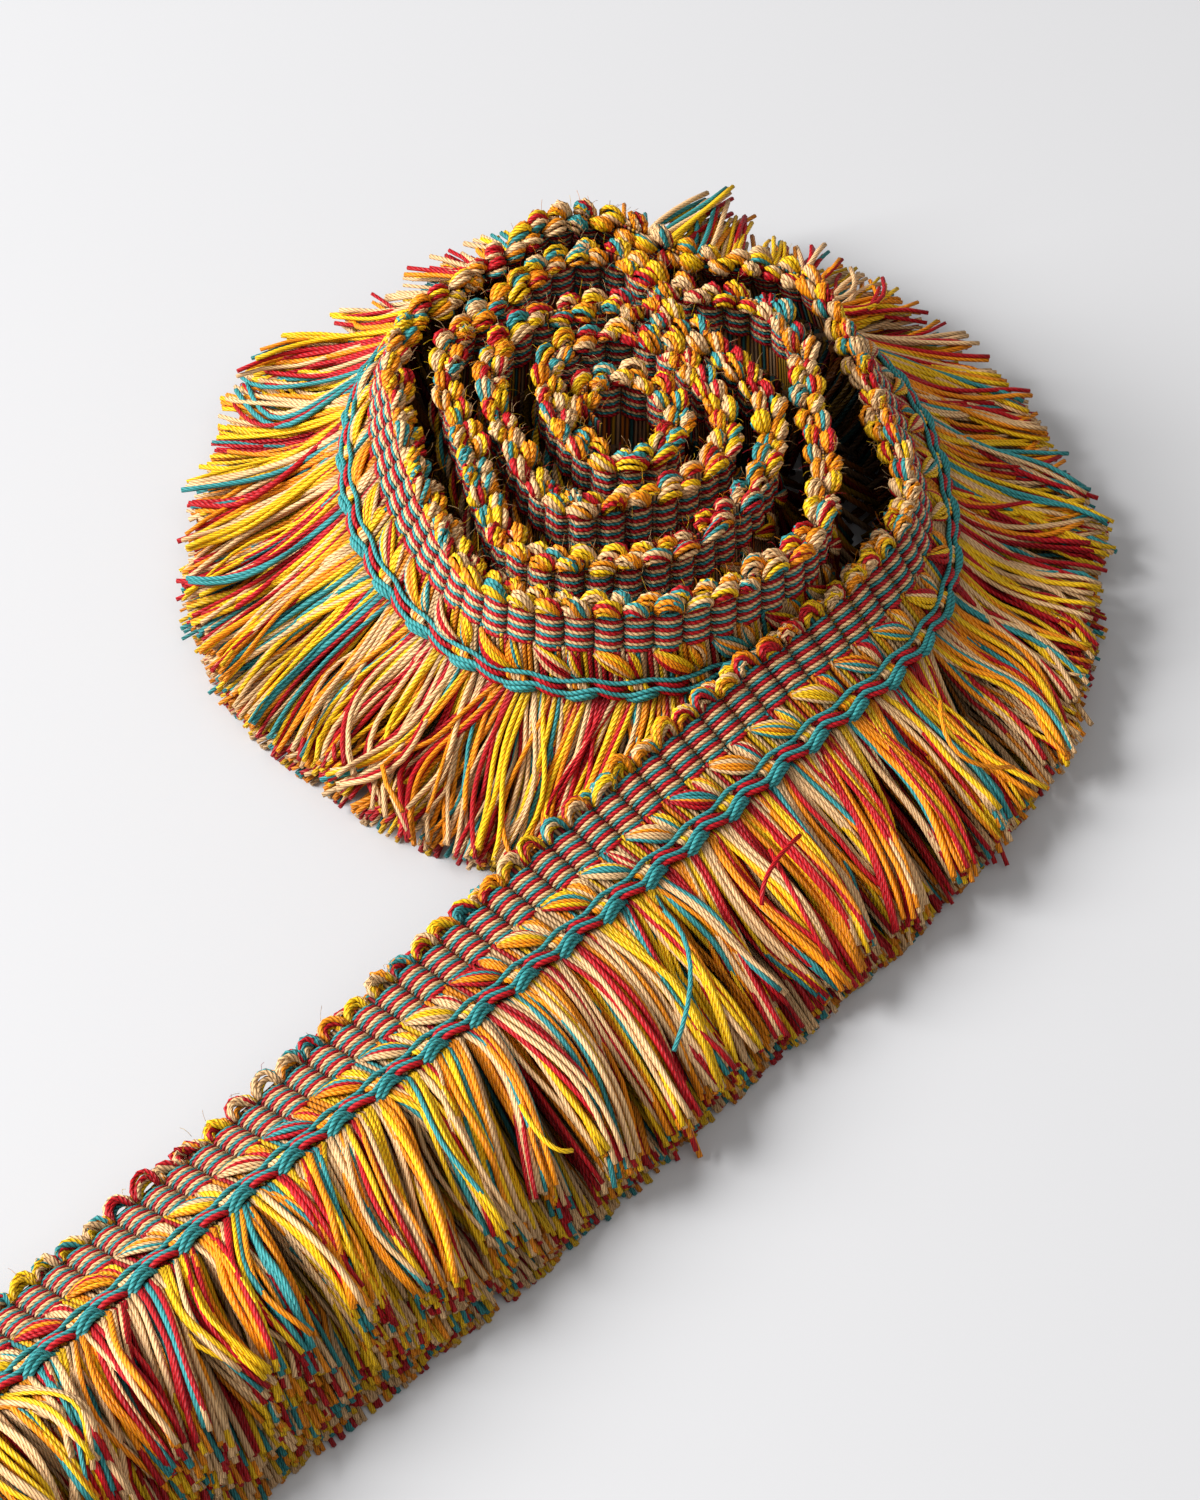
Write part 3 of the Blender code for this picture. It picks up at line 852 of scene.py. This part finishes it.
def strand_paths(s, layer, points, tufts):
    """Paths of strands rooted at s. layer is 0 for the top of the brush and 1 for its bottom."""
    count = len(s)
    brush = np.interp(s, band.row_lengths[: len(BRUSH_TABLE)], BRUSH_TABLE)
    rolled = smooth((s - ROLL_START) / ROLL_BLEND + 0.5)
    reach = np.interp(s, REACH_PLACES, REACH_TABLE)
    middle, place, shared = clumped(s, *tufts)
    lock, lock_place, lock_shared = clumped(s, *clumps(s.min(), s.max(), LOCK_WIDTHS))
    # Where the tips lie along the band
    squeeze = np.clip(mix(*SQUEEZES, rolled) + 0.16 * shared[0], 0.3, 0.95)
    squeeze = mix(squeeze, 0.92, layer)
    loose = mix(1.0, 0.2, layer**0.7)
    lean = mix(*TUFT_LEANS, rolled) * shared[1] + mix(*LOCK_LEANS, rolled) * lock_shared[1]
    lean = lean + chance.normal(0, 0.35, count)
    arc = (1.0 * shared[4] + 0.9 * lock_shared[0] + chance.normal(0, 0.25, count)) * loose
    tip_s = middle + (lock - middle) * squeeze + (s - lock) * mix(0.62, 0.95, layer)
    tip_s = tip_s + np.interp(s, REACH_PLACES, LEAN_TABLE) + lean * loose
    # How far out they reach
    uneven = 0.05 * shared[2] + 0.035 * lock_shared[2] + chance.normal(0, 0.022, count)
    reach = reach * (1 + uneven * loose) * (1 - 0.29 * brush**1.3 * (1 - layer) ** 1.5)
    reach = reach * (1 + 0.28 * layer * brush * (1 - brush))
    # How high the strands lie: the top layer arches over, and the bottom one drops to the floor
    root_d = mix(0.75, -1.0, layer)
    root = band.at(s, FULL_WIDTH - 0.1, root_d)
    across = band.axes(s)[0]
    steep = across[:, 2] / np.maximum(np.linalg.norm(across[:, :2], axis=1), 0.3)
    climb = np.maximum(root[:, 2] - ROOT_HEIGHT, 0) * (1 - brush)
    behind = np.interp(s, REACH_PLACES, LIFT_TABLE)
    tip_top = mix(mix(*TIP_HEIGHTS, rolled) + 0.5 * climb + behind, BRUSH_TOP, brush)
    slope_in = np.clip(steep, -0.75, 0.35) * reach
    slope_out = mix(*TIP_SLOPES, rolled)
    above = 1 - layer
    lift = (0.8 * shared[3] + 0.8 * lock_shared[3] + chance.normal(0, 0.25, count)) * above
    pile = 1.2 - 3.2 * np.abs(place) ** 2.5 - 0.5 * np.abs(lock_place) ** 3
    lift = lift + pile * (above > 0.5) * mix(*PILES, rolled)
    u = np.linspace(0.0, 1.0, points - 1)[None, :]
    h00, h10 = 2 * u**3 - 3 * u**2 + 1, u**3 - 2 * u**2 + u
    h01, h11 = 3 * u**2 - 2 * u**3, u**3 - u**2
    top = h00 * root[:, 2:] + h10 * slope_in[:, None] + h01 * tip_top[:, None]
    top = top + h11 * slope_out[:, None] + lift[:, None] * u
    low = STRAND + (root[:, 2:] - STRAND) * (1 - smooth(u / 0.34))
    z = mix(top, low, layer[:, None])
    # Strands wander, each by itself and with their lock
    places = s[:, None] + (tip_s - s)[:, None] * u**1.2
    beats = chance.uniform(0.5, 1.5, (count, 1))
    size = (np.abs(chance.normal(0, mix(*WANDERS, rolled))) * loose)[:, None]
    wave = 2 * np.pi * (beats * u + chance.uniform(0, 1, (count, 1)))
    lock_beats = 0.7 + 0.15 * lock_shared[0][:, None]
    lock_wave = 2 * np.pi * (lock_beats * u + lock_shared[4][:, None])
    swing = 0.5 * loose[:, None]
    places = places + (size * np.sin(wave) + swing * np.sin(lock_wave)) * u**0.7
    places = places + arc[:, None] * np.sin(np.pi * u)
    z = z + (0.8 * size * np.sin(wave + 1.5) + swing * np.sin(lock_wave + 1.0)) * u
    z = np.maximum(z, LYING)
    base = band.at(places, FULL_WIDTH, root_d[:, None] * (1 - u))
    free = base + band.outward(places) * (reach[:, None] * u)[..., None]
    free[..., 2] = z
    inside = band.at(s, FULL_WIDTH - 1.2, root_d * 0.4)
    # Painted shade: deep strands are dark inside the brush and paler at their cut ends; top strands
    # are darker at the edges of their tufts, every strand gets a small random tone, and all are
    # darker inside the chain and at the cut end
    ends = np.concatenate([[0.0], u[0] ** 3])
    painted_root_shade = mix(1.0, DEEP_PAINTED_SHADES[0], smooth(layer / 0.55))[:, None]
    painted_end_shade = mix(1.0, DEEP_PAINTED_SHADES[1], layer)[:, None]
    painted_shade_and_tone = mix(painted_root_shade, painted_end_shade, ends)
    painted_edge_shade_and_tone = (1 - 0.15 * np.abs(place) ** 3 * above) * chance.normal(1.0, 0.07, count)
    painted_shade_and_tone = painted_shade_and_tone * painted_edge_shade_and_tone[:, None]
    painted_shade_and_tone = painted_shade_and_tone * np.concatenate([ROOT_PAINTED_SHADES, np.ones(points - 3), [END_PAINTED_SHADE]])
    return np.concatenate([inside[:, None], free], axis=1), painted_shade_and_tone


# Layers from the top: how deep each lies, points on a strand and sides of it
TOP_LAYERS = ((0.0, 11, 5), (0.08, 10, 5), (0.18, 8, 4), (0.29, 8, 4), (0.41, 6, 4))
SKIRT_LAYERS = TOP_LAYERS + tuple((depth, 5, 4) for depth in (0.6, 0.8, 1.0))
TAIL_LAYERS = SKIRT_LAYERS + tuple((depth, 5, 4) for depth in (0.5, 0.7, 0.9))
# More layers where the free end's brush is thick
BRUSH_DEPTHS = (0.24, 0.35, 0.46, 0.55, 0.66, 0.85)
BRUSH_LAYERS = TAIL_LAYERS + tuple((depth, 5, 4) for depth in BRUSH_DEPTHS)
# Layers above this depth share one set of tufts
DEEP = 0.45


def make_fringe(name, start, stop, layers, node):
    yarns = Yarns(name)
    count = int((stop - start) / STRAND_SPACING)
    tufts = clumps(start, stop, TUFT_WIDTHS)
    for depth, points, sides in layers:
        s = start + (np.arange(count) + 0.5) / count * (stop - start)
        s = s + chance.normal(0, 0.14, count)
        brush = np.interp(s, band.row_lengths[: len(BRUSH_TABLE)], BRUSH_TABLE)
        thin = chance.random(count) > 0.3 * (1 - brush) * (depth > 0.3)
        s = s[thin]
        layer = np.clip(depth + chance.normal(0, 0.02, len(s)), 0.0, 1.0)
        own = tufts if depth < DEEP else clumps(start, stop, TUFT_WIDTHS)
        paths, painted_shade_and_tone = strand_paths(s, layer, points, own)
        radii = STRAND * chance.normal(1.0, 0.1, (len(s), 1)) * np.ones((1, points))
        yarns.lay(paths, radii, colour_runs(len(s)), (0.0, 0.0, 1.0), sides, painted_shade_and_tone)
    return yarns.build("fringe_yarn", (node,))


# Fringe of the inner turns, which goes down inside the rosette


# Radius of these strands, how far their feet spread, and how high the feet may be
INNER_STRAND = 0.42
INNER_SPREAD = 10.0
INNER_FEET = (0.5, 4.0)


def hang(yarns, start, stop, spacing, spreads, d, painted_shade_and_tone):
    """Strands that go down from the band; spreads is how far out their feet may lie."""
    s = np.arange(start, stop, spacing)
    t = np.linspace(0.0, 1.0, 4)
    d = chance.normal(d, 0.4, len(s))[:, None]
    top = band.at(s[:, None], np.array([12.6, 13.8])[None], d)
    outward = band.outward(s)[:, None]
    spread = chance.uniform(*spreads, len(s)) * INNER_SPREAD
    drift = spread[:, None] * t[1:] ** 1.5 + chance.normal(0, 0.2, (len(s), 3))
    fall = top[:, 1:] + outward * drift[..., None]
    foot = chance.uniform(*INNER_FEET, (len(s), 1))
    fall[..., 2] = top[:, 1:, 2] * (1 - t[1:]) + foot * t[1:]
    paths = np.concatenate([top, fall], axis=1)
    yarns.lay(paths, INNER_STRAND, colour_runs(len(s)), outward, 4, painted_shade_and_tone)


def make_inner_fringe():
    yarns = Yarns("inner_brush")
    # Painted shade: these strands are darkened nearly to black, as they hang in the rosette's shade
    hang(yarns, SKIRT_STOP + RIB_PITCH, band.length - 1.0, 0.3, (-0.25, 1.0), 0.0, 0.2)
    # Strands of the outer turn that stand inward, in the gap behind it, with still darker painted
    # shade
    hang(yarns, ROLL_START, SKIRT_STOP, 0.38, (-0.95, -0.05), -1.2, 0.13)
    return yarns.build("fringe_yarn", ("inner_fringe",))


# Loose ends: single strands that lie over the brush, and fine fuzz on the knobs


# Points on each stray strand, in the part's own frame
STRAYS = (
    (TEAL, (-44.2, -45.3, 10.5), (-48.5, -53.1, 11.5), (-56.1, -57.9, 8.5)),
    (ORANGE, (-2.5, -48.1, 13.5), (-6.1, -53.9, 12.0), (-0.7, -57.7, 8.5)),
    (CRIMSON, (-31.0, -48.4, 12.0), (-34.6, -55.9, 12.0), (-35.9, -61.3, 8.5)),
    (CRIMSON, (-27.5, -49.6, 12.5), (-33.8, -50.9, 13.0), (-36.7, -52.5, 11.0)),
    (YELLOW, (-73.4, -52.8, 11.0), (-74.9, -58.1, 11.0), (-73.3, -60.0, 10.0)),
)
# Fuzz: how many hairs, their radius and their shortest and longest length
FUZZ_COUNT = 1300
FUZZ = 0.026
FUZZ_LENGTHS = (0.6, 1.9)


def make_loose_ends():
    yarns = Yarns("loose_ends")
    t = np.linspace(0.0, 1.0, 9)
    for colour, *points in STRAYS:
        a, b, c = (np.array(point) for point in points)
        middle = 2 * b - (a + c) / 2
        path = [(1 - x) ** 2 * a + 2 * x * (1 - x) * middle + x**2 * c for x in t]
        yarns.lay(np.array([path]), STRAND * 0.9, [colour], (0.0, 0.0, 1.0), 5)
    s = mix(2.0, band.length - 2.0, chance.random(FUZZ_COUNT) ** 0.6)
    w = chance.uniform(0.3, 2.0, FUZZ_COUNT)
    side = chance.choice((-1.0, 1.0), FUZZ_COUNT)
    length = chance.uniform(*FUZZ_LENGTHS, FUZZ_COUNT)
    heading = chance.uniform(-1.3, 1.3, FUZZ_COUNT)
    curl = chance.normal(0, 1.2, FUZZ_COUNT)
    u = np.linspace(0.0, 1.0, 4)[:, None]
    rise = (length * u * np.cos(heading + curl * u)).T
    out = (length * u * np.sin(heading + curl * u)).T
    drift = (chance.normal(0, 0.8, FUZZ_COUNT) * u).T
    places = band.within(s[:, None] + drift)
    d = side[:, None] * (1.2 + np.abs(out))
    paths = band.at(places, w[:, None] - rise, d)
    colours = chance.choice((CREAM, CREAM, YELLOW, ORANGE, CRIMSON), FUZZ_COUNT)
    yarns.lay(paths, FUZZ, colours, band.axes(places)[0], 3)
    return yarns.build("fringe_yarn")


# Room, light and camera


FLOOR_HALF = 3.0
FLOOR_TONES = ((0.50, 0.50, 0.51, 1.0), (0.52, 0.52, 0.53, 1.0))
SKY = (1.0, 0.985, 0.97, 1.0)
SKY_STRENGTH = 0.4
# Lamps: how far right of the subject, away from the camera and up, size and power
LAMPS = {"key": (-1.2, -0.1, 0.75, 0.8, 48.0), "fill": (0.4, -0.8, 1.3, 1.0, 4.0)}


def make_floor():
    corners = [(-1, -1), (1, -1), (1, 1), (-1, 1)]
    points = [(x * FLOOR_HALF, y * FLOOR_HALF, 0) for x, y in corners]
    mesh = bpy.data.meshes.new("floor")
    mesh.from_pydata(points, [], [(0, 1, 2, 3)])
    material = bpy.data.materials.new("pale_floor")
    material.use_nodes = True
    tree = material.node_tree
    shader = tree.nodes["Principled BSDF"]
    noise = add(tree.nodes, "ShaderNodeTexNoise")
    noise.inputs["Scale"].default_value = 3.0
    tone = colour_mix(tree, noise.outputs[0], *FLOOR_TONES)
    tree.links.new(tone, shader.inputs["Base Color"])
    shader.inputs["Roughness"].default_value = 0.7
    shader.inputs["Specular IOR Level"].default_value = 0.2
    mesh.materials.append(material)
    floor = bpy.data.objects.new("floor", mesh)
    bpy.context.scene.collection.objects.link(floor)


def aim(thing, place, target):
    thing.location = place
    thing.rotation_mode = "QUATERNION"
    thing.rotation_quaternion = (Vector(target) - Vector(place)).to_track_quat("-Z", "Y")


def make_light(name, right, away, high, size, power):
    """A soft square lamp, placed from the subject by how far right, away from the camera and up."""
    look = Vector((LOOK_LEVEL[0], LOOK_LEVEL[1], 0.0))
    side = Vector((LOOK_LEVEL[1], -LOOK_LEVEL[0], 0.0))
    target = Vector(TARGET) * MM
    lamp = bpy.data.lights.new(name, "AREA")
    lamp.shape = "SQUARE"
    lamp.size = size
    lamp.energy = power
    holder = bpy.data.objects.new(name, lamp)
    bpy.context.scene.collection.objects.link(holder)
    aim(holder, target + side * right + look * away + Vector((0, 0, high)), target)


def make_camera():
    elevation = math.radians(ELEVATION)
    level = Vector((LOOK_LEVEL[0], LOOK_LEVEL[1], 0.0)).normalized()
    view = level * math.cos(elevation) - Vector((0, 0, math.sin(elevation)))
    lens = bpy.data.cameras.new("camera")
    lens.lens = LENS
    lens.sensor_width = SENSOR
    lens.sensor_fit = "AUTO"
    lens.clip_start, lens.clip_end = 0.01, 20.0
    camera = bpy.data.objects.new("camera", lens)
    bpy.context.scene.collection.objects.link(camera)
    target = Vector(TARGET) * MM
    aim(camera, target - view * DISTANCE * MM, target)
    bpy.context.scene.camera = camera


def make_world():
    world = bpy.data.worlds.new("studio")
    world.use_nodes = True
    sky = world.node_tree.nodes["Background"]
    sky.inputs[0].default_value = SKY
    sky.inputs[1].default_value = SKY_STRENGTH
    bpy.context.scene.world = world


def sectors(start, stop, count):
    """Start and end of each of count equal lengths."""
    edges = np.linspace(start, stop, count + 1)
    return list(zip(edges[:-1], edges[1:]))


def main():
    make_camera()
    make_world()
    make_floor()
    for name, values in LAMPS.items():
        make_light(name, *values)
    ground = make_ground()
    woven = [
        make_warps("warps_outer", 0, OUTER_RIBS, FINE_PLACES, 5),
        make_warps("warps_inner", OUTER_RIBS, RIB_COUNT + 1, COARSE_PLACES, 4),
        make_picots("picots_outer", 0, OUTER_RIBS, 4),
        make_picots("picots_inner", OUTER_RIBS, RIB_COUNT + 1, 4),
        make_leaves("leaves_outer", 0, OUTER_RIBS, 5, WEFT_YARNS),
        make_leaves("leaves_inner", OUTER_RIBS, RIB_COUNT, 3, 0),
        make_chain("chain_outer", 0, OUTER_RIBS),
    ]
    for i, (start, stop) in enumerate(sectors(0.0, ROLL_START, 2)):
        layers = BRUSH_LAYERS if i == 0 else TAIL_LAYERS
        piece = make_fringe(f"brush_{i + 1}", start, stop, layers, f"fringe_tail_{i + 1}")
    for i, (start, stop) in enumerate(sectors(ROLL_START, SKIRT_STOP, 5)):
        node = f"fringe_roll_{i + 1}"
        make_fringe(f"skirt_{i + 1}", start, stop, SKIRT_LAYERS, node)
    make_inner_fringe()
    make_loose_ends()


view = bpy.context.scene.view_settings
view.view_transform = "Standard"
main()
